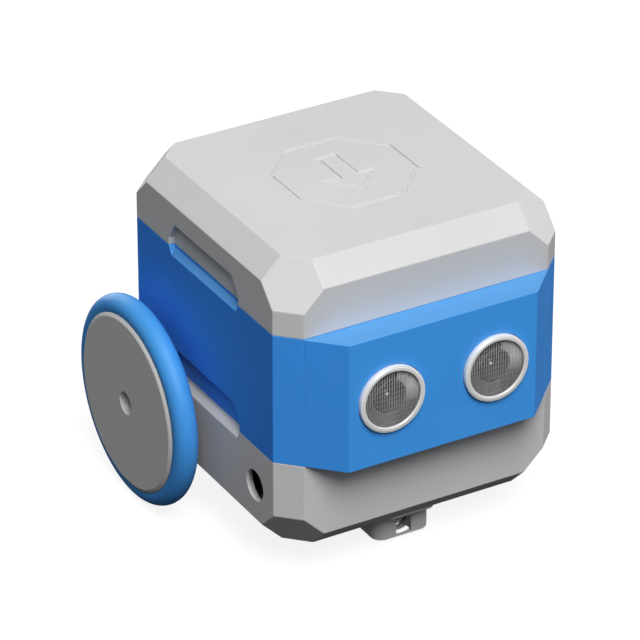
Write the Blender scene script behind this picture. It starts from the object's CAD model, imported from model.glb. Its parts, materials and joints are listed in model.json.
"""Educational coding robot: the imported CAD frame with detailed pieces, materials, light and a camera."""

import json
import math

import bmesh
import bpy
from mathutils import Matrix, Vector


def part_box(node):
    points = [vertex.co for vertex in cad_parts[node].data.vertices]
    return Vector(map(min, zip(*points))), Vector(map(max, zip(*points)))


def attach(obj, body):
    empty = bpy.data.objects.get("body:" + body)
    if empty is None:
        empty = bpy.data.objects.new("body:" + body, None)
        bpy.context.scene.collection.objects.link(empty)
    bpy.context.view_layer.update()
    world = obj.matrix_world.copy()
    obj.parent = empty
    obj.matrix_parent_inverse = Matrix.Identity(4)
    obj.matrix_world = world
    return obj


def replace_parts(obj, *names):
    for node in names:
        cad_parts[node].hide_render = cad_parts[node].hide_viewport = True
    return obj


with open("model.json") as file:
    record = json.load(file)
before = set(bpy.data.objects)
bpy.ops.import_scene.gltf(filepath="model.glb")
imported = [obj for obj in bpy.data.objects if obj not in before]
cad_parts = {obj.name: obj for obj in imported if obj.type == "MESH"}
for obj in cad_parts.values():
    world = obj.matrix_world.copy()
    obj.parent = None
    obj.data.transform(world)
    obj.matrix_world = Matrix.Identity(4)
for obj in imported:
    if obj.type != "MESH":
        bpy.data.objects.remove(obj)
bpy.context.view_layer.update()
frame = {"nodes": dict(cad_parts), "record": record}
nodes = frame["nodes"]
node_body = {name: body for body, names in frame["record"]["behaviour"]["bodies"].items() for name in names}
node_slot = {part["node"]: part["material_slot"] for part in frame["record"]["subparts"]}
MM = 0.001
SIDES = ("left", "right")
FORWARD = (0, -1, 0)
scene = bpy.context.scene

# ---------------------------------------------------------------- camera, light and floor


# The camera's place in metres, its bearing and rise over the object, and its lens and sensor in millimetres
CAMERA_AT = (-0.45906, -0.78525, 0.56275)
CAMERA_TURN = math.radians(-29.976)
CAMERA_RISE = math.radians(29.788)
CAMERA_LENS = 266.75
SENSOR_WIDTH = 36

# Where the lamps point; then each lamp's name, direction, distance and width in metres, and power in watts
LAMP_TARGET = Vector((0, 0, 0.04))
LAMPS = (
    ("key", (-0.15, -0.56, 0.81), 2.4, 1.5, 60.0),
    ("side_fill", (0.98, -0.05, 0.05), 2.0, 1.2, 13.0),
    ("back_fill", (0.10, 0.98, 0.10), 2.0, 1.2, 18.0),
)

# Tones of the surroundings under and over the horizon, and where on the ramp they start to meet
GROUND_TONE = (0.042, 0.042, 0.043, 1)
SKY_TONE = (0.215, 0.215, 0.217, 1)
GROUND_END = 0.44
SKY_START = 0.56


def aim(obj, back):
    """Points obj so that back leads away from what it looks at."""
    obj.rotation_euler = Vector(back).to_track_quat("Z", "Y").to_euler()


def area_light(name, direction, distance, size, power):
    """A round lamp that shines on the object from a direction."""
    light = bpy.data.lights.new(name, "AREA")
    light.shape = "DISK"
    light.size = size
    light.energy = power
    obj = bpy.data.objects.new(name, light)
    scene.collection.objects.link(obj)
    away = Vector(direction).normalized()
    obj.location = LAMP_TARGET + away * distance
    aim(obj, away)


def surroundings():
    """A soft grey sky over a dark ground, which the glossy surfaces mirror."""
    world = bpy.data.worlds.new("studio")
    scene.world = world
    world.use_nodes = True
    tree = world.node_tree
    tree.nodes.clear()
    out = tree.nodes.new("ShaderNodeOutputWorld")
    background = tree.nodes.new("ShaderNodeBackground")
    ramp = tree.nodes.new("ShaderNodeValToRGB")
    split = tree.nodes.new("ShaderNodeSeparateXYZ")
    coords = tree.nodes.new("ShaderNodeTexCoord")
    height = tree.nodes.new("ShaderNodeMapRange")
    height.inputs["From Min"].default_value = -1
    height.inputs["From Max"].default_value = 1
    ramp.color_ramp.elements[0].position = GROUND_END
    ramp.color_ramp.elements[0].color = GROUND_TONE
    ramp.color_ramp.elements[1].position = SKY_START
    ramp.color_ramp.elements[1].color = SKY_TONE
    tree.links.new(coords.outputs["Generated"], split.inputs[0])
    tree.links.new(split.outputs["Z"], height.inputs["Value"])
    tree.links.new(height.outputs["Result"], ramp.inputs["Fac"])
    tree.links.new(ramp.outputs["Color"], background.inputs["Color"])
    tree.links.new(background.outputs[0], out.inputs[0])


camera = bpy.data.objects.new("camera", bpy.data.cameras.new("camera"))
scene.collection.objects.link(camera)
camera.data.lens = CAMERA_LENS
camera.data.sensor_width = SENSOR_WIDTH
camera.data.clip_end = 20
camera.location = CAMERA_AT
level = math.cos(CAMERA_RISE)
aim(camera, (math.sin(CAMERA_TURN) * level, -math.cos(CAMERA_TURN) * level, math.sin(CAMERA_RISE)))
scene.camera = camera
scene.view_settings.view_transform = "Standard"
for lamp in LAMPS:
    area_light(*lamp)
surroundings()

# ---------------------------------------------------------------- materials


def tone(colour, factor, lift=0.0):
    """A colour made darker or lighter by a factor, then lifted, and kept within 1."""
    return [min(1, c * factor + lift) for c in colour]


class Material:
    """A Principled material in object space, which is the row frame, with a few node helpers."""

    def __init__(self, name, **sockets):
        self.mat = bpy.data.materials.new(name)
        self.mat.use_nodes = True
        self.tree = self.mat.node_tree
        self.tree.nodes.clear()
        out = self.node("ShaderNodeOutputMaterial")
        self.bsdf = self.node("ShaderNodeBsdfPrincipled")
        self.link(self.bsdf.outputs[0], out.inputs[0])
        self.coords = self.node("ShaderNodeTexCoord").outputs["Object"]
        for key, value in sockets.items():
            self.bsdf.inputs[key.replace("_", " ")].default_value = value

    def node(self, kind, **props):
        """A new node with some of its properties set."""
        n = self.tree.nodes.new(kind)
        for key, value in props.items():
            setattr(n, key, value)
        return n

    def link(self, a, b):
        self.tree.links.new(a, b)

    def noise(self, scale, detail=3, rough=0.55, stretch=None):
        """Noise with so many cycles to the metre, drawn out along the axes whose stretch is small."""
        vector = self.coords
        if stretch:
            m = self.node("ShaderNodeMapping")
            m.inputs["Scale"].default_value = stretch
            self.link(vector, m.inputs["Vector"])
            vector = m.outputs[0]
        n = self.node("ShaderNodeTexNoise")
        n.inputs["Scale"].default_value = scale
        n.inputs["Detail"].default_value = detail
        n.inputs["Roughness"].default_value = rough
        self.link(vector, n.inputs["Vector"])
        return n.outputs["Fac"]

    def span(self, value, low, high, from_low=0.3, from_high=0.7):
        """Maps a value between from_low and from_high on to the span from low to high."""
        m = self.node("ShaderNodeMapRange")
        m.inputs["From Min"].default_value = from_low
        m.inputs["From Max"].default_value = from_high
        m.inputs["To Min"].default_value = low
        m.inputs["To Max"].default_value = high
        self.link(value, m.inputs["Value"])
        return m.outputs["Result"]

    def mix(self, factor, a, b):
        """A blend of two colours; each input is a socket, a number or a colour."""
        m = self.node("ShaderNodeMix", data_type="RGBA")
        for value, socket in ((factor, m.inputs[0]), (a, m.inputs[6]), (b, m.inputs[7])):
            if isinstance(value, bpy.types.NodeSocket):
                self.link(value, socket)
            elif isinstance(value, (int, float)):
                socket.default_value = value
            else:
                socket.default_value = (*value[:3], 1)
        return m.outputs[2]

    def math(self, operation, a, b):
        """Joins two values, each a socket or a number."""
        m = self.node("ShaderNodeMath", operation=operation)
        for value, socket in ((a, m.inputs[0]), (b, m.inputs[1])):
            if isinstance(value, bpy.types.NodeSocket):
                self.link(value, socket)
            else:
                socket.default_value = value
        return m.outputs[0]

    def edges(self, radius=0.0006):
        """1 along convex edges, 0 on flat ground."""
        bevel = self.node("ShaderNodeBevel", samples=4)
        bevel.inputs["Radius"].default_value = radius
        geometry = self.node("ShaderNodeNewGeometry")
        dot = self.node("ShaderNodeVectorMath", operation="DOT_PRODUCT")
        self.link(bevel.outputs[0], dot.inputs[0])
        self.link(geometry.outputs["Normal"], dot.inputs[1])
        return self.span(dot.outputs["Value"], 1, 0, 0.90, 0.995)

    def lying(self, most):
        """Grows to most on ground that faces up, where fine dust settles."""
        split = self.node("ShaderNodeSeparateXYZ")
        self.link(self.node("ShaderNodeNewGeometry").outputs["Normal"], split.inputs[0])
        speckled = self.span(self.noise(420, 4, 0.7), 0.85, 1.0)
        return self.math("MULTIPLY", self.span(split.outputs["Z"], 0, most, 0.15, 0.8), speckled)

    def facing(self, direction):
        """Grows to 1 on ground that faces a direction, where light has paled it."""
        dot = self.node("ShaderNodeVectorMath", operation="DOT_PRODUCT")
        dot.inputs[1].default_value = direction
        self.link(self.node("ShaderNodeNewGeometry").outputs["Normal"], dot.inputs[0])
        return self.span(dot.outputs["Value"], 0, 1, 0.2, 0.95)

    def bump(self, height, distance):
        """Relief as deep as distance, in metres."""
        b = self.node("ShaderNodeBump")
        b.inputs["Distance"].default_value = distance
        b.inputs["Strength"].default_value = 1.0
        self.link(height, b.inputs["Height"])
        return b.outputs[0]

    def set(self, name, value):
        """Links a value to one of the shader's sockets."""
        self.link(value, self.bsdf.inputs[name])


def moulded(name, colour, rough=0.5, grain=0.00002, vary=0.03, wear=0.25, worn=1.12, bloom=None, pale=None):
    """Injection-moulded plastic: spark-eroded grain, faint flow marks and slightly polished edges.

    pale is its colour where light has paled the front, and bloom that of fine dust on top.
    """
    m = Material(name, Specular_IOR_Level=0.6)
    flow = m.noise(28, 3, 0.5)
    speck = m.noise(2600, 2, 0.6)
    base = m.mix(m.span(flow, 0, 1), tone(colour, 1 - vary), tone(colour, 1 + vary))
    base = m.mix(m.span(speck, 0, 0.10, 0.45, 0.75), base, tone(colour, 0.82))
    patch = m.math("MULTIPLY", m.edges(), m.span(m.noise(260, 4, 0.65), 0, wear, 0.42, 0.62))
    base = m.mix(patch, base, tone(colour, worn, 0.02))
    if pale:
        base = m.mix(m.facing(FORWARD), base, pale)
    if bloom:
        base = m.mix(m.lying(0.75), base, bloom)
    m.set("Base Color", base)
    smudge = m.span(m.noise(75, 4, 0.6), rough - 0.05, rough + 0.07)
    m.set("Roughness", m.math("ADD", smudge, m.span(speck, -0.02, 0.03)))
    m.set("Normal", m.bump(m.noise(3800, 3, 0.6), grain))
    return m.mat


def metal(name, colour, rough=0.3, brush=None, grain=0.000008, vary=0.08):
    """Metal with drawn or brushed marks; brush squeezes them along one direction."""
    m = Material(name, Metallic=1.0)
    marks = m.noise(420, 4, 0.65, brush)
    base = m.mix(m.span(marks, 0, 1), tone(colour, 1 - vary), tone(colour, 1 + vary))
    base = m.mix(m.math("MULTIPLY", m.edges(0.0003), 0.3), base, tone(colour, 1.15))
    m.set("Base Color", base)
    m.set("Roughness", m.span(m.noise(160, 4, 0.6, brush), rough - 0.06, rough + 0.10))
    m.set("Normal", m.bump(m.noise(900, 4, 0.7, brush), grain))
    return m.mat


def satin(name, colour, rough=0.35, metallic=0.12, specular=1.0):
    """Etched metal with a soft sheen, faint marks and bright edges."""
    m = Material(name, Metallic=metallic, Specular_IOR_Level=specular)
    marks = m.noise(700, 4, 0.65)
    base = m.mix(m.span(marks, 0, 1), tone(colour, 0.97), colour)
    base = m.mix(m.math("MULTIPLY", m.edges(0.0002), 0.5), base, (1, 1, 1))
    m.set("Base Color", base)
    m.set("Roughness", m.span(m.noise(240, 4, 0.6), rough - 0.05, rough + 0.07))
    m.set("Normal", m.bump(marks, 0.000003))
    return m.mat


def rubber(name, colour, rough=0.55, dusty=0.12, lying=None):
    """Soft moulded rubber: fine bloom and dust, with another colour where dust lies on top."""
    m = Material(name, Specular_IOR_Level=0.4)
    bloom = m.noise(120, 5, 0.6)
    fine = m.noise(1800, 3, 0.6)
    base = m.mix(m.span(bloom, 0, 1), tone(colour, 0.96), tone(colour, 1.04))
    dust = m.span(m.noise(520, 4, 0.7), 0, dusty, 0.5, 0.75)
    base = m.mix(dust, base, tone(colour, 0.85, 0.06))
    if lying:
        base = m.mix(m.lying(0.7), base, lying)
    m.set("Base Color", base)
    m.set("Roughness", m.span(bloom, rough - 0.05, rough + 0.10))
    m.set("Normal", m.bump(fine, 0.000018))
    return m.mat


def circuit_mask(name, colour, pitch=0.0016):
    """Solder mask over copper: dark laminate with paler, faintly raised tracks."""
    m = Material(name, Specular_IOR_Level=0.5, Coat_Weight=0.25)
    lanes = m.node("ShaderNodeTexBrick")
    lanes.inputs["Scale"].default_value = 1 / pitch / 4
    lanes.inputs["Mortar Size"].default_value = 0.05
    lanes.inputs["Color1"].default_value = (0, 0, 0, 1)
    lanes.inputs["Color2"].default_value = (0.25, 0.25, 0.25, 1)
    lanes.inputs["Mortar"].default_value = (1, 1, 1, 1)
    m.link(m.coords, lanes.inputs["Vector"])
    track = lanes.outputs["Fac"]
    base = m.mix(track, colour, tone(colour, 1.9, 0.012))
    base = m.mix(m.span(m.noise(90, 4), 0, 0.25), base, tone(colour, 0.6))
    m.set("Base Color", base)
    m.set("Roughness", m.span(m.noise(300, 3), 0.28, 0.42))
    m.set("Normal", m.bump(track, 0.00003))
    return m.mat


def chrome(name):
    """Polished steel with the finest scratches."""
    m = Material(name, Metallic=1.0)
    base = m.mix(m.span(m.noise(300, 4), 0, 1), (0.86, 0.87, 0.89), (0.93, 0.94, 0.95))
    m.set("Base Color", base)
    scratch = m.noise(2200, 5, 0.75, (1, 0.08, 1))
    m.set("Roughness", m.span(scratch, 0.05, 0.16))
    m.set("Normal", m.bump(scratch, 0.000001))
    return m.mat


GREY = (0.630, 0.630, 0.635)
BLUE = (0.030, 0.262, 0.930)
BLUE_PALE = (0.054, 0.350, 0.910)
BLUE_BLOOM = (0.105, 0.370, 0.650)
mats = {
    "shell_grey": moulded("shell_grey_moulding", GREY, 0.50),
    "shell_blue": moulded("shell_blue_moulding", BLUE, 0.46, vary=0.02, wear=0.10, worn=1.06,
                          bloom=BLUE_BLOOM, pale=BLUE_PALE),
    "wheel_grey": moulded("wheel_grey_moulding", GREY, 0.52, grain=0.00003),
    "tyre_blue": rubber("tyre_blue_rubber", (0.054, 0.315, 0.80), 0.5, 0.05, (0.060, 0.33, 0.74)),
    "caster_grey": moulded("caster_grey_moulding", (0.60, 0.60, 0.61), 0.5),
    "tray_black": moulded("tray_black_moulding", (0.022, 0.022, 0.025), 0.55, wear=0.4, worn=1.8),
    "servo_shell": moulded("servo_shell_moulding", (0.012, 0.020, 0.045), 0.25, grain=0.000004, worn=1.6),
    "gear_brass": metal("gear_brass_cut", (0.78, 0.57, 0.25), 0.28),
    "motor_steel": metal("motor_can_drawn", (0.62, 0.63, 0.65), 0.27, (0.05, 1, 1)),
    "ball_chrome": chrome("ball_polished"),
    "screw_steel": metal("screw_zinc", (0.58, 0.59, 0.61), 0.32),
    "can_aluminium": satin("can_satin", (0.93, 0.93, 0.92), 0.34),
    "mesh_steel": satin("mesh_wire", (0.15, 0.15, 0.152), 0.60, 0.0, 0.3),
    "core_black": moulded("core_moulding", (0.15, 0.15, 0.15), 0.45, grain=0.00001),
    "circuit_board": circuit_mask("solder_mask_green", (0.006, 0.060, 0.035)),
    "shield_steel": metal("shield_tinned", (0.60, 0.61, 0.62), 0.42, (1, 0.1, 1)),
    "switch_black": moulded("switch_moulding", (0.018, 0.018, 0.020), 0.42, grain=0.00001, worn=2.0),
    "cap_white": moulded("socket_moulding", (0.78, 0.75, 0.68), 0.42, grain=0.00001),
    "battery_foil": metal("pouch_foil", (0.66, 0.68, 0.70), 0.34, grain=0.00006, vary=0.05),
    "lead_black": rubber("lead_jacket_black", (0.020, 0.020, 0.023), 0.45),
    "lead_red": rubber("lead_jacket_red", (0.42, 0.018, 0.014), 0.42),
}

FLOOR_REACH = 6
floor_mat = Material("floor_paper", Roughness=0.9, Specular_IOR_Level=0.1, Emission_Strength=0.86)
floor_mat.bsdf.inputs["Emission Color"].default_value = (1, 1, 1, 1)
floor_tone = floor_mat.span(floor_mat.noise(6, 3), 0, 1)
floor_mat.set("Base Color", floor_mat.mix(floor_tone, (0.20, 0.20, 0.20), (0.22, 0.22, 0.22)))
floor_mesh = bpy.data.meshes.new("floor")
floor_corners = [(x * FLOOR_REACH, y * FLOOR_REACH, 0) for x, y in ((-1, -1), (1, -1), (1, 1), (-1, 1))]
floor_mesh.from_pydata(floor_corners, [], [(0, 1, 2, 3)])
floor = bpy.data.objects.new("floor", floor_mesh)
scene.collection.objects.link(floor)
floor_mesh.materials.append(floor_mat.mat)
floor.visible_diffuse = False
floor.visible_glossy = False

# ---------------------------------------------------------------- mesh helpers


# Corners closer than this, in metres, become one
WELD = 2e-6
# Edges flatter than this are dissolved, and edges sharper than this are rounded or left crisp, in degrees
FLAT = 0.4
SHARP = 28
# A profile's point nearer the axis than this, in millimetres, lies on it
ON_AXIS = 1e-6


def add_object(name, mesh, body, slot, material=None, at=(0, 0, 0)):
    """A piece in a record slot's material, or another, which rides on a body."""
    obj = bpy.data.objects.new(name, mesh)
    obj.location = at
    scene.collection.objects.link(obj)
    mesh.materials.append(material or mats[slot])
    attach(obj, body)
    return obj


def clean_copy(node, whole=False):
    """A bmesh of a CAD node, welded, with each flat region joined into one face.

    Unless whole, a joined face with a concave outline is then cut into convex ones.
    """
    bm = bmesh.new()
    bm.from_mesh(nodes[node].data)
    bmesh.ops.remove_doubles(bm, verts=bm.verts, dist=WELD)
    bmesh.ops.dissolve_limit(
        bm, angle_limit=math.radians(FLAT), use_dissolve_boundaries=False, verts=bm.verts, edges=bm.edges)
    if not whole:
        bmesh.ops.connect_verts_concave(bm, faces=bm.faces)
        bmesh.ops.dissolve_degenerate(bm, dist=WELD, edges=bm.edges)
    bmesh.ops.recalc_face_normals(bm, faces=bm.faces)
    return bm


def finish_mesh(bm, name):
    """A smooth-shaded mesh from a bmesh, which is freed."""
    mesh = bpy.data.meshes.new(name)
    for face in bm.faces:
        face.smooth = True
    bm.to_mesh(mesh)
    bm.free()
    return mesh


def crisp(obj, angle=SHARP):
    """Shades the edges sharper than angle degrees as hard ones."""
    obj.data.set_sharp_from_angle(angle=math.radians(angle))


def soften(obj, width, segments=2):
    """Rounds every sharp edge by width millimetres, with its flat faces left flat."""
    mod = obj.modifiers.new("round_edges", "BEVEL")
    mod.width = width * MM
    mod.segments = segments
    mod.limit_method = "ANGLE"
    mod.angle_limit = math.radians(SHARP)
    mod.use_clamp_overlap = False
    mod.miter_outer = "MITER_ARC"
    mod.face_strength_mode = "FSTR_ALL"
    weigh = obj.modifiers.new("flat_faces_lead", "WEIGHTED_NORMAL")
    weigh.use_face_influence = True
    weigh.weight = 100
    weigh.keep_sharp = True


def refine(node, width, segments=2, whole=False):
    """A copy of a CAD node with rounded edges, which stands for it."""
    bm = clean_copy(node, whole)
    obj = add_object(node + "_piece", finish_mesh(bm, node + "_piece"), node_body[node], node_slot[node])
    soften(obj, width, segments)
    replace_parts(obj, node)
    return obj


def circle(count, turn=0.0):
    """The cosine and sine of count angles evenly round a circle."""
    angles = [2 * math.pi * k / count + turn for k in range(count)]
    return [(math.cos(a), math.sin(a)) for a in angles]


def lathe(profile, steps, centre, axis):
    """A closed ring or cap turned from (radius, height) points in millimetres, about axis through centre."""
    bm = bmesh.new()
    place = Matrix.Translation(centre) @ Vector(axis).to_track_quat("Z", "Y").to_matrix().to_4x4()
    rings = []
    for r, h in profile:
        if r < ON_AXIS:
            rings.append([bm.verts.new(place @ Vector((0, 0, h * MM)))])
            continue
        corners = [Vector((r * MM * c, r * MM * s, h * MM)) for c, s in circle(steps)]
        rings.append([bm.verts.new(place @ corner) for corner in corners])
    pairs = list(zip(rings, rings[1:]))
    if len(rings[0]) > 1 and len(rings[-1]) > 1:
        pairs.append((rings[-1], rings[0]))
    for a, b in pairs:
        for k in range(steps):
            j = (k + 1) % steps
            if len(a) == 1:
                bm.faces.new((a[0], b[j], b[k]))
            elif len(b) == 1:
                bm.faces.new((a[k], a[j], b[0]))
            else:
                bm.faces.new((a[k], a[j], b[j], b[k]))
    bmesh.ops.recalc_face_normals(bm, faces=bm.faces)
    return bm


def arc(cx, cy, r, start, end, steps):
    """Points on an arc in a profile, angles in degrees."""
    return [
        (cx + r * math.cos(math.radians(start + (end - start) * i / steps)),
         cy + r * math.sin(math.radians(start + (end - start) * i / steps)))
        for i in range(steps + 1)]


def skin(bm, rings):
    """Closes a row of rings of corners into a tube with flat ends, and returns its faces."""
    faces = [bm.faces.new(rings[0]), bm.faces.new(rings[-1])]
    for a, b in zip(rings, rings[1:]):
        for k in range(len(a)):
            j = (k + 1) % len(a)
            faces.append(bm.faces.new((a[k], a[j], b[j], b[k])))
    return faces


def tangent(path, i):
    """The direction of a path of points at its point i."""
    return (path[min(i + 1, len(path) - 1)] - path[max(i - 1, 0)]).normalized()


def brick(bm, low, high, index=0):
    """A box between two corners in millimetres, with one of the piece's materials."""
    verts = [
        bm.verts.new(Vector((x, y, z)) * MM)
        for x in (low[0], high[0]) for y in (low[1], high[1]) for z in (low[2], high[2])]
    for ids in ((0, 1, 3, 2), (4, 6, 7, 5), (0, 4, 5, 1), (2, 3, 7, 6), (0, 2, 6, 4), (1, 5, 7, 3)):
        bm.faces.new([verts[i] for i in ids]).material_index = index


def paint(obj, low, high, material):
    """Gives the faces whose middle lies in a box, in millimetres, another material."""
    obj.data.materials.append(material)
    for face in obj.data.polygons:
        if all(low[i] <= face.center[i] / MM <= high[i] for i in range(3)):
            face.material_index = len(obj.data.materials) - 1


def several(name, bm, body, slot, materials, width=0.0):
    """A piece in several materials, by face index, with edges rounded by width or left crisp."""
    bmesh.ops.recalc_face_normals(bm, faces=bm.faces)
    obj = add_object(name, finish_mesh(bm, name), body, slot, materials[0])
    for extra in materials[1:]:
        obj.data.materials.append(extra)
    if width > 0:
        soften(obj, width)
    else:
        crisp(obj)
    return obj


# ---------------------------------------------------------------- shells and wheels


def tyre(side):
    """The round rubber ring on a wheel."""
    low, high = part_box("tyre_" + side)
    tube = (high.x - low.x) / 2 / MM
    ring = (high.z - low.z) / 2 / MM - tube
    steps = 40
    section = arc(ring, 0, tube, 0, 360 - 360 / steps, steps - 1)
    bm = lathe(section, 144, (low + high) / 2, (1, 0, 0))
    obj = add_object("tyre_%s_piece" % side, finish_mesh(bm, "tyre_" + side), "wheel_" + side, "tyre_blue")
    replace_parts(obj, "tyre_" + side)


# Edges are rounded by so many millimetres, in so many steps. The base and the wheels keep their joined faces
# whole: cut into convex ones, they would show dark lines and wedges.
refine("base_shell", 0.20, 3, whole=True)
for name, width, segments in (("mid_shell", 0.16, 2), ("face_mask", 0.20, 3), ("top_cover", 0.20, 3)):
    refine(name, width, segments)
refine("caster_housing", 0.15)
for side in SIDES:
    refine("wheel_" + side, 0.15, whole=True)
for side in SIDES:
    tyre(side)

# ---------------------------------------------------------------- sonar eyes

# The cloth's wires in millimetres: the uprights' pitch and radius, then the cross wires'
UPRIGHT_PITCH = 0.6
UPRIGHT_R = 0.075
CROSS_PITCH = 1.2
CROSS_R = 0.02
SHORTEST_WIRE = 0.5


def wire(bm, points, r, sides):
    """One wire of radius r, in metres, along points in the cloth's plane."""
    rings = []
    for i, p in enumerate(points):
        t = tangent(points, i)
        n = t.cross(Vector((0, 1, 0))).normalized()
        b = t.cross(n)
        rings.append([bm.verts.new(p + (n * c + b * s) * r) for c, s in circle(sides)])
    skin(bm, rings)


def wire_mesh(centre, radius, name):
    """Woven wire cloth: stout upright wires with finer cross wires passing over and under them."""
    bm = bmesh.new()
    upright, cross = UPRIGHT_PITCH * MM, CROSS_PITCH * MM
    r_up, r_cross = UPRIGHT_R * MM, CROSS_R * MM
    count = int(radius / upright)
    for i in range(-count, count + 1):
        x = i * upright
        reach = math.sqrt(max(radius * radius - x * x, 0))
        if reach > SHORTEST_WIRE * MM:
            wire(bm, [centre + Vector((x, 0, z)) for z in (-reach, 0, reach)], r_up, 6)
    rows = int(radius / cross)
    for j in range(-rows, rows + 1):
        z = j * cross
        reach = math.sqrt(max(radius * radius - z * z, 0))
        cells = int(reach / upright)
        if cells < 1:
            continue
        sign = 1 if j % 2 else -1
        points = [Vector((-reach, 0, z))]
        for i in range(-cells, cells + 1):
            points.append(Vector((i * upright, sign * (1 if i % 2 else -1) * (r_up + r_cross) * 0.9, z)))
        points.append(Vector((reach, 0, z)))
        wire(bm, [centre + p for p in points], r_cross, 5)
    bmesh.ops.recalc_face_normals(bm, faces=bm.faces)
    return finish_mesh(bm, name)


def cup_metal(name):
    """The pressed cup behind the cloth: bright where burnished, dull and dark towards its upper left."""
    m = Material(name, Specular_IOR_Level=0.5)
    split = m.node("ShaderNodeSeparateXYZ")
    m.link(m.coords, split.inputs[0])
    x, z = split.outputs["X"], split.outputs["Z"]
    dull = m.mix(m.span(z, 0, 1, -0.0045, -0.0005), (0.31, 0.31, 0.30), (0.205, 0.205, 0.205))
    dull = m.mix(m.span(z, 0, 1, 0.0030, 0.0056), dull, (0.05, 0.05, 0.05))
    burnished = m.mix(m.span(z, 0, 1, -0.0024, 0.0014), (0.23, 0.23, 0.23), (0.92, 0.92, 0.91))
    base = m.mix(m.span(x, 0, 1, 0.0014, 0.0019), dull, burnished)
    base = m.mix(m.span(m.noise(900, 3, 0.6, (1, 1, 0.06)), 0, 0.35), base, (0.16, 0.16, 0.16))
    m.set("Base Color", base)
    m.set("Roughness", m.span(m.noise(500, 4), 0.5, 0.7))
    m.set("Normal", m.bump(m.noise(1500, 3), 0.00001))
    return m.mat


# Profiles in the eyes are (radius, height) points, with heights counted forward from the can's front edge
CONE = [(0, -5.62), (1.1, -5.62), (1.3, -4.6), (2.6, -3.0), (3.6, -1.85), (3.78, -1.66), (3.82, -1.56),
        (3.74, -1.50), (3.6, -1.58), (2.4, -2.2), (1.2, -2.75), (0, -2.9)]
PIN = [(0, -3.0), (0.46, -2.98), (0.46, -2.88)] + arc(0, -2.9, 0.39, 0, 90, 5)[:-1] + [(0, -2.51)]
BEAD = [(0, -2.75), (0.3, -2.74), (0.28, -2.62), (0.16, -2.54), (0, -2.52)]
# The bead's place beside the pin, and the height over the axis where its faces start, in metres
BEAD_AT = Vector((-0.0005, 0, 0.0010))
BEAD_START = 0.0006
CAN_WALL = 0.42
CLOTH_BACK = 0.74

cup_mat = cup_metal("cup_burnished")
cone_mat = satin("cone_dark", (0.125, 0.125, 0.125), 0.45, 0.0)
dot_mat = satin("cone_pin", (0.98, 0.98, 0.98), 0.25, 0.0)
bead_mat = satin("cone_bead", (0.42, 0.42, 0.42), 0.3, 0.0)


def can_profile(wide, wall, depth):
    """A rolled outer edge, a fine groove, a broad crowned rim, then the inside wall."""
    profile = [(wide, -depth)]
    profile += arc(wide - 0.18, -0.30, 0.18, 0, 80, 5)
    profile += [(wide - 0.20, -0.22), (wide - 0.26, -0.24)]
    profile += arc(wide - 0.46, -0.20, 0.20, 20, 95, 4)
    profile += arc(7.00, -0.24, 0.24, 85, 180, 6)
    return profile + [(6.76, -0.56), (wall - 0.15, -0.62), (wall, -0.8), (wall, -depth)]


def core_profile(wall, depth):
    """The moulded core that fills the can behind the cup, with a low boss in its middle."""
    outer = wall - 0.03
    return [(0, -depth), (outer, -depth), (outer, -6.7), (7.2, -6.5), (3.2, -6.5), (3.0, -6.3), (2.6, -5.6),
            (0, -5.6)]


def cup_profile(wall):
    """A thin cup: its outside wall, a floor that slopes in, and a throat round the cone."""
    outer = wall - 0.04
    return [(outer, -6.4), (outer, -1.0), (wall - 0.14, -0.93), (6.6, -1.06), (5.4, -1.25), (4.2, -1.46),
            (4.02, -1.54), (3.95, -1.7), (3.95, -5.9), (4.25, -5.9), (4.3, -2.1), (7.0, -1.5), (7.1, -6.4)]


def eye_part(name, profile, steps, centre, slot, material=None, at=(0, 0, 0)):
    """A part of an eye, turned about the eye's axis."""
    mesh = finish_mesh(lathe(profile, steps, centre, FORWARD), name)
    return add_object(name, mesh, "chassis", slot, material, at)


def pin_and_bead(side, front):
    """The bright pin in the cone's middle, with a duller bead beside it."""
    bm = lathe(PIN, 24, front, FORWARD)
    bead = lathe(BEAD, 20, front + BEAD_AT, FORWARD)
    joined = bpy.data.meshes.new("bead")
    bead.to_mesh(joined)
    bead.free()
    bm.from_mesh(joined)
    for face in bm.faces:
        face.material_index = int(face.calc_center_median().z > front.z + BEAD_START)
    several("sonar_pin_" + side, bm, "chassis", "core_black", [dot_mat, bead_mat])


def eye(side):
    """A transducer: can, wire cloth, core, cup, cone, pin and bead."""
    low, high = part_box("sonar_can_" + side)
    front = Vector(((low.x + high.x) / 2, low.y, (low.z + high.z) / 2))
    wide = (high.x - low.x) / 2 / MM
    depth = (high.y - low.y) / MM
    wall = wide - CAN_WALL

    can = eye_part("sonar_can_%s_piece" % side, can_profile(wide, wall, depth), 128, front, "can_aluminium")
    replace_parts(can, "sonar_can_" + side)

    cloth = wire_mesh(front + Vector((0, CLOTH_BACK * MM, 0)), (wall - 0.1) * MM, "cloth_" + side)
    cloth = add_object("sonar_mesh_%s_piece" % side, cloth, "chassis", "mesh_steel")
    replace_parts(cloth, "sonar_mesh_" + side)

    core = eye_part("sonar_core_%s_piece" % side, core_profile(wall, depth), 96, front, "core_black")
    crisp(core, 35)
    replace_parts(core, "sonar_core_" + side)

    # the cup's mesh is about its own origin, which its finish is laid out from
    origin = Vector((0, 0, 0))
    cup = eye_part("sonar_cup_" + side, cup_profile(wall), 96, origin, "core_black", cup_mat, front)
    crisp(cup, 40)
    eye_part("sonar_cone_" + side, CONE, 96, front, "core_black", cone_mat)
    pin_and_bead(side, front)


for side in SIDES:
    eye(side)

# ---------------------------------------------------------------- inside and small parts

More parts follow.
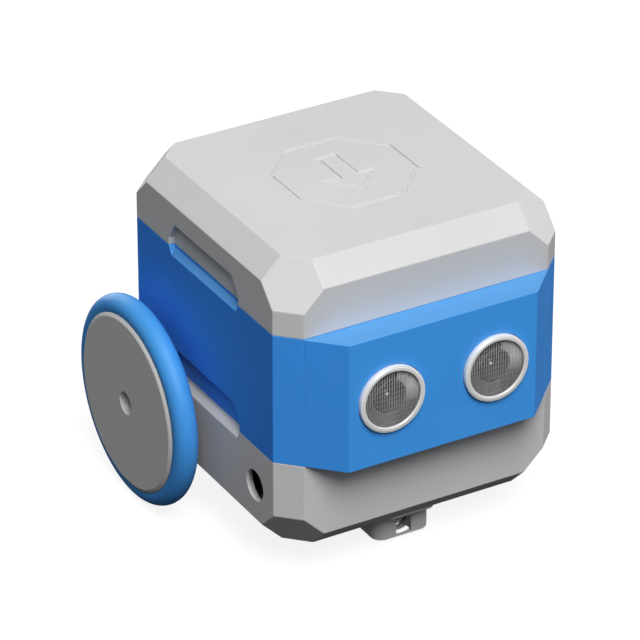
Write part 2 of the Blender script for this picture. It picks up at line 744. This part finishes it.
# The board's top, from which its parts stand up, and which the screws' heads stand on
SCREW_HEAD = 1.2
board_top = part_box("board_screws")[1].z / MM - SCREW_HEAD
silk = moulded("marking_ink", (0.72, 0.72, 0.70), 0.6, grain=0.000002)
tin = metal("solder_tin", (0.70, 0.71, 0.73), 0.28)
gold = metal("plated_gold", (0.83, 0.60, 0.22), 0.24)
chip = moulded("chip_epoxy", (0.020, 0.020, 0.022), 0.38, grain=0.000006, worn=2.2)
ceramic = moulded("ceramic_brown", (0.30, 0.20, 0.11), 0.45, grain=0.000003)
radio_mask = circuit_mask("solder_mask_dark", (0.008, 0.014, 0.030), 0.0011)
tape = moulded("polyimide_tape", (0.62, 0.30, 0.035), 0.22, grain=0.000004, vary=0.08)
lens = moulded("lens_clear", (0.60, 0.64, 0.66), 0.10, grain=0.000001)
WIRES = {
    "black": mats["lead_black"],
    "red": mats["lead_red"],
    "white": rubber("lead_white", (0.62, 0.62, 0.60), 0.45),
    "brown": rubber("lead_brown", (0.090, 0.034, 0.016), 0.45),
    "orange": rubber("lead_orange", (0.72, 0.21, 0.012), 0.45),
    "yellow": rubber("lead_yellow", (0.72, 0.50, 0.02), 0.45),
}
# Nodes whose edges are rounded by so many millimetres
SMALL = {
    "inner_tray": 0.2, "sonar_board": 0.08, "controller_board": 0.08, "radio_module": 0.12, "usb_port": 0.06,
    "power_switch": 0.1, "power_slider": 0.12, "button_switch": 0.15, "button_cap": 0.25, "buzzer": 0.2,
    "port_sockets": 0.12, "battery_pack": 0.3, "line_sensor_left": 0.08, "line_sensor_right": 0.08,
    "servo_gear_cover_left": 0.25, "servo_gear_cover_right": 0.25, "servo_case_left": 0.2,
    "servo_case_right": 0.2, "servo_end_cap_left": 0.25, "servo_end_cap_right": 0.25, "board_screws": 0.1,
    "tray_screws": 0.1, "servo_screws": 0.1, "caster_screws": 0.06, "sonar_screws": 0.05,
    "wheel_screw_left": 0.08, "wheel_screw_right": 0.08, "motor_can_left": 0.15, "motor_can_right": 0.15,
}
small = {name: refine(name, width) for name, width in SMALL.items()}


def legs(bm, low, high, pitch):
    """Bent legs down the two x sides of a chip, standing at the height of its low corner."""
    rise = (high[2] - low[2]) * 0.5
    count = int((high[1] - low[1] - 0.4) / pitch)
    for k in range(count + 1):
        y = (low[1] + high[1]) / 2 + (k - count / 2) * pitch
        for way, x in ((-1, low[0]), (1, high[0])):
            shoulder = (-0.1, 0.3, rise, rise + 0.12)
            shin = (0.2, 0.32, 0.02, rise + 0.12)
            foot = (0.2, 0.65, 0, 0.12)
            for a, b, c, d in (shoulder, shin, foot):
                ends = sorted((x + way * a, x + way * b))
                brick(bm, (ends[0], y - pitch * 0.2, low[2] + c), (ends[1], y + pitch * 0.2, low[2] + d))


def outline(bm, x0, x1, y0, y1):
    """A rectangle printed on the controller board."""
    w, t = 0.16, 0.02
    for y in (y0, y1 - w):
        brick(bm, (x0, y, board_top), (x1, y + w, board_top + t), INK)
    for x in (x0, x1 - w):
        brick(bm, (x, y0, board_top), (x + w, y1, board_top + t), INK)


# The controller board's chips: low corner, high corner, height and leg pitch, in millimetres
CHIPS = (
    ((8, 2), (13, 7), 0.9, 0.8),
    ((17, 3), (20, 7), 1.1, 1.0),
    ((8, 11), (12, 15), 1.2, 1.0),
    ((-6, 20), (-2.8, 21.6), 1.0, 0.65),
    ((5.5, 19), (8.7, 21.6), 1.1, 0.9),
)
# Rows of ceramic parts: the first one's middle, and how many
CERAMIC_ROWS = (((14, 9.6), 5), ((-20, 20), 4))
CERAMIC_PITCH = 2.2
# The lead sockets' first middle, pitch and number, and their pins' pitch
SOCKET_X = -19.5
SOCKET_PITCH = 7.8
SOCKETS = 6
SOCKET_PIN_PITCH = 1.25
RADIO_PAD_PITCH = 1.27
# The aerial trace's runs: the first one's y, their pitch and number, and their ends
AERIAL_Y = -2.4
AERIAL_PITCH = 2.1
AERIAL_RUNS = 7
AERIAL_X = (-23.3, -18.6)
TRACE_W = 0.45
# Indexes into the materials of controller_details
TIN, GOLD, INK, LENS = range(4)


def chips_and_ceramics(bm):
    """Gives the chips and ceramic parts their finish, with legs, end caps and printed outlines."""
    board = small["controller_board"]
    for a, b, tall, pitch in CHIPS:
        low = (a[0] - 0.1, a[1] - 0.1, board_top + 0.05)
        high = (b[0] + 0.1, b[1] + 0.1, board_top + 2)
        paint(board, low, high, chip)
        legs(bm, (*a, board_top), (*b, board_top + tall), pitch)
        outline(bm, a[0] - 1, b[0] + 1, a[1] - 0.5, b[1] + 0.5)
    for (first_x, y), count in CERAMIC_ROWS:
        for i in range(count):
            x = first_x + CERAMIC_PITCH * i
            paint(board, (x - 0.7, y - 1.2, board_top + 0.05), (x + 0.7, y + 1.2, board_top + 1), ceramic)
            for end in (-1, 1):
                ends = sorted((y + end * 0.58, y + end * 1.12))
                brick(bm, (x - 0.56, ends[0], board_top), (x + 0.56, ends[1], board_top + 0.65), TIN)


def socket_pins(bm):
    """The lead sockets' printed outlines, and the soldered pins behind them."""
    for k in range(SOCKETS):
        x = SOCKET_X + SOCKET_PITCH * k
        outline(bm, x - 3.7, x + 3.7, -16.9, -8.0)
        for i in range(4):
            along = SOCKET_PIN_PITCH * i
            brick(bm, (x - 2.1 + along, -9.3, board_top), (x - 1.65 + along, -8.3, board_top + 0.18), TIN)


def radio_pads_and_aerial(bm):
    """The radio module's edge pads, and its aerial: a flat trace that winds to and fro."""
    for i in range(13):
        x = -16.4 + RADIO_PAD_PITCH * i
        for y in (-4.1, 13.5):
            brick(bm, (x - 0.35, y, board_top), (x + 0.35, y + 0.6, board_top + 0.84), GOLD)
    low, high = board_top + 0.8, board_top + 0.84
    for i in range(AERIAL_RUNS):
        y = AERIAL_Y + AERIAL_PITCH * i
        brick(bm, (AERIAL_X[0], y, low), (AERIAL_X[1], y + TRACE_W, high), GOLD)
        if i < AERIAL_RUNS - 1:
            x = AERIAL_X[1] - TRACE_W if i % 2 else AERIAL_X[0]
            brick(bm, (x, y, low), (x + TRACE_W, y + 2.5, high), GOLD)


def lamps_and_pads(bm):
    """Three small indicator lamps, and a ring of gold round each of the board's screws."""
    for x, y in ((-13, 23.4), (-10, 23.4), (24.6, 10.5)):
        brick(bm, (x - 0.8, y - 0.4, board_top), (x + 0.8, y + 0.4, board_top + 0.3), INK)
        brick(bm, (x - 0.45, y - 0.36, board_top + 0.3), (x + 0.45, y + 0.36, board_top + 0.6), LENS)
    for x in (-25, 25):
        for y in (-13.5, 27.5):
            for c, s in circle(24):
                at = Vector((x + 2.35 * c, y + 2.35 * s))
                low = (at.x - 0.26, at.y - 0.26, board_top)
                high = (at.x + 0.26, at.y + 0.26, board_top + 0.03)
                brick(bm, low, high, GOLD)


def controller_details():
    """What stands on the controller board, as one piece."""
    bm = bmesh.new()
    chips_and_ceramics(bm)
    socket_pins(bm)
    radio_pads_and_aerial(bm)
    lamps_and_pads(bm)
    several("controller_details", bm, "chassis", "shield_steel", [tin, gold, silk, lens])
    paint(small["radio_module"], (-24.5, -4.5, board_top - 0.1), (2, 14.5, board_top + 0.83), radio_mask)


def sonar_details():
    """What is on the back of the ranging module's board: chips, a crystal, pins and ceramic parts."""
    board = small["sonar_board"]
    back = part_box("sonar_board")[0].y / MM + 1.6
    bm = bmesh.new()
    chips = ((-10, -4, 44.7, 53.7), (4, 9, 44.7, 53.7))
    crystal = (-3, 1.5, 49.7, 53.7)
    for x0, x1, z0, z1 in (*chips, crystal):
        is_chip = (x0, x1, z0, z1) in chips
        finish = chip if is_chip else tin
        paint(board, (x0 - 0.1, back + 0.05, z0 - 0.1), (x1 + 0.1, back + 3, z1 + 0.1), finish)
        for i in range(7 if is_chip else 0):
            z = z0 + 0.7 + 1.27 * i
            for a, b in ((x0 - 0.7, x0 + 0.1), (x1 - 0.1, x1 + 0.7)):
                brick(bm, (a, back, z - 0.2), (b, back + 0.25, z + 0.2))
    paint(board, (-5.1, back + 0.05, 38), (5.1, back + 6, 43.2), mats["switch_black"])
    for i in range(4):
        x = -3.81 + 2.54 * i
        brick(bm, (x - 0.32, back - 0.02, 43.3), (x + 0.32, back + 0.5, 44.0))
    for x in (-13, 13):
        for z in (45.2, 50.2):
            brick(bm, (x - 0.5, back, z - 0.5), (x + 0.5, back + 0.6, z + 0.5))
    for i in range(5):
        z = 40.2 + 1.9 * i
        for x in (-17.5, 16.5):
            brick(bm, (x, back, z), (x + 1.6, back + 0.45, z + 0.8))
            brick(bm, (x + 0.35, back, z - 0.02), (x + 1.25, back + 0.5, z + 0.82), 1)
    several("sonar_details", bm, "chassis", "shield_steel", [tin, ceramic])


def line_details(side):
    """A line sensor's two square lenses, which look at the ground, and the parts on its upper side."""
    node = "line_sensor_" + side
    low, high = (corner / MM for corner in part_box(node))
    x, y = (low.x + high.x) / 2, (low.y + high.y) / 2
    paint(small[node], (x - 2.5, y - 3.6, low.z - 0.1), (x + 2.5, y + 3.6, high.z - 1.25), chip)
    bm = bmesh.new()
    for i, mid in enumerate((y - 1.6, y + 1.6)):
        for k, r in enumerate((1.1, 0.8)):
            brick(bm, (x - r, mid - r, low.z - 0.03 * (k + 1)), (x + r, mid + r, low.z + 0.2), 1 + i)
    for i in range(3):
        start = y - 3.6 + 2.9 * i
        brick(bm, (x - 1.5, start, high.z), (x - 0.3, start + 0.8, high.z + 0.45), 3)
        brick(bm, (x - 1.7, start + 0.02, high.z), (x - 0.1, start + 0.78, high.z + 0.4), 0)
    several("line_details_" + side, bm, "chassis", "circuit_board", [tin, lens, chip, ceramic], 0.05)


def battery_tape():
    """The tape over the battery's protection board, and the foil's sealed hem."""
    low, high = (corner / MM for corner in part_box("battery_pack"))
    bm = bmesh.new()
    brick(bm, (high.x - 15, low.y + 3, high.z - 0.3), (high.x - 5, high.y - 2.4, high.z + 0.06), 0)
    brick(bm, (high.x - 14.2, low.y + 7.4, high.z), (high.x - 5.8, high.y - 6.5, high.z + 0.5), 0)
    brick(bm, (low.x + 2.4, low.y + 4, high.z - 0.3), (low.x + 3.4, high.y - 4, high.z + 0.12), 1)
    several("battery_tape", bm, "chassis", "battery_foil", [tape, mats["battery_foil"]], 0.12)


controller_details()
sonar_details()
for side in SIDES:
    line_details(side)
battery_tape()

# ---------------------------------------------------------------- leads


# The middle of the plugs' housings
PLUG_Y = -15.5
PLUG_Z = board_top + 2.8
# Points on a path between two of a route's points, sides of a wire, and its turn in radians at each point
PATH_STEPS = 8
WIRE_SIDES = 10
TWIST = 0.09


def curve(points):
    """A smooth path through points in millimetres."""
    points = [Vector(p) * MM for p in points]
    ends = [points[0] * 2 - points[1]] + points + [points[-1] * 2 - points[-2]]
    path = []
    for a, b, c, d in zip(ends, ends[1:], ends[2:], ends[3:]):
        for i in range(PATH_STEPS):
            t = i / PATH_STEPS
            bend = (2 * a - 5 * b + 4 * c - d) * t ** 2 + (3 * b - a - 3 * c + d) * t ** 3
            path.append(0.5 * (2 * b + (c - a) * t + bend))
    return path + [points[-1]]


def bundle(bm, path, count, r):
    """count wires of radius r, in millimetres, lying against each other along path."""
    n = (path[1] - path[0]).orthogonal().normalized()
    spread = r * 1.03 / math.sin(math.pi / count)
    wires = [[] for _ in range(count)]
    for i, p in enumerate(path):
        t = tangent(path, i)
        n = (n - t * n.dot(t)).normalized()
        b = t.cross(n)
        for rings, (c, s) in zip(wires, circle(count, TWIST * i)):
            mid = p + (n * c + b * s) * spread * MM
            rings.append([bm.verts.new(mid + (n * u + b * v) * r * MM) for u, v in circle(WIRE_SIDES)])
    for k, rings in enumerate(wires):
        for face in skin(bm, rings):
            face.material_index = k


def plug(bm, x, index):
    """A moulded crimp housing with two rails and a stop."""
    y0, y1, z = PLUG_Y - 3.4, PLUG_Y + 3.6, PLUG_Z
    brick(bm, (x - 2.3, y0, z - 1.7), (x + 2.3, y1, z + 1.15), index)
    for a, b in ((-2.3, -1.3), (1.3, 2.3)):
        brick(bm, (x + a, y0 + 0.5, z + 1.0), (x + b, y1, z + 1.7), index)
    brick(bm, (x - 0.9, y0 + 0.3, z + 1.0), (x + 0.9, y0 + 1.2, z + 1.55), index)


def lead(node, colours, routes, r):
    """A multi-core lead with its plugs, which stands for the CAD node."""
    bm = bmesh.new()
    for points in routes:
        bundle(bm, curve(points), len(colours), r)
        plug(bm, points[-1][0], len(colours))
    finishes = [WIRES[c] for c in colours] + [mats["cap_white"]]
    obj = several(node + "_piece", bm, "chassis", node_slot[node], finishes)
    crisp(obj, 40)
    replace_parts(obj, node)


for side, way in (("left", -1), ("right", 1)):
    lead("servo_lead_" + side, ("brown", "red", "orange"), [[
        (way * 9.5, 2.4, 24.4), (way * 9.1, -1.2, 25), (way * 7.5, -4.5, 27), (way * 5.5, -13, 28.8),
        (way * 5, -20, 29.6), (way * 4.4, -22.3, 33), (way * 4, -22.6, 37), (way * 3.9, -21.3, PLUG_Z - 0.4),
        (way * 3.9, PLUG_Y - 3.2, PLUG_Z)]], 0.40)
lead("battery_lead", ("red", "black"), [[
    (16, -10.7, 24.25), (16, -10.7, 26.2), (15.4, -14.7, 27.8), (14.2, -20.5, 28.8), (11.5, -24.6, 31),
    (11.4, -25.4, 36), (11.7, -22, PLUG_Z - 0.2), (11.7, PLUG_Y - 3.2, PLUG_Z)]], 0.43)
lead("sonar_lead", ("black", "yellow", "white", "red"), [[
    (0, -24.8, 40.9), (-0.4, -23.15, 41.1), (-3.2, -21.6, 43.1), (-6.4, -21.4, 43.9), (-9.5, -21.6, 43.1),
    (-11.6, -20.9, PLUG_Z + 0.5), (-11.7, PLUG_Y - 3.2, PLUG_Z)]], 0.35)
lead("line_sensor_leads", ("black", "white", "red"), [[
    (way * 20.05, -19.4, 12), (way * 22.5, -19.2, 12.1), (way * 26.6, -17, 13.2), (way * 28.6, -14.2, 17),
    (way * 29.2, -13.5, 23), (way * 29.6, -13.5, 33), (way * 30, -14.5, 38), (way * 28.6, -18, 41.2),
    (way * 24, -21.2, 41.4), (way * 20.2, -20.8, PLUG_Z + 0.2), (way * 19.5, PLUG_Y - 3.2, PLUG_Z)]
    for way in (-1, 1)], 0.36)

# ---------------------------------------------------------------- the ball and what is left



def caster_ball():
    """The polished ball, turned as one closed sphere."""
    low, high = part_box("caster_ball")
    r = (high.z - low.z) / 2 / MM
    profile = [(0, -r)] + arc(0, 0, r, -86, 86, 43) + [(0, r)]
    mesh = finish_mesh(lathe(profile, 64, (low + high) / 2, (0, 0, 1)), "ball")
    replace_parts(add_object("caster_ball_piece", mesh, node_body["caster_ball"], "ball_chrome"), "caster_ball")


caster_ball()
# the nodes that no piece stands for show their own shape
for name, obj in nodes.items():
    if not obj.hide_render:
        obj.data.materials.clear()
        obj.data.materials.append(mats[node_slot[name]])
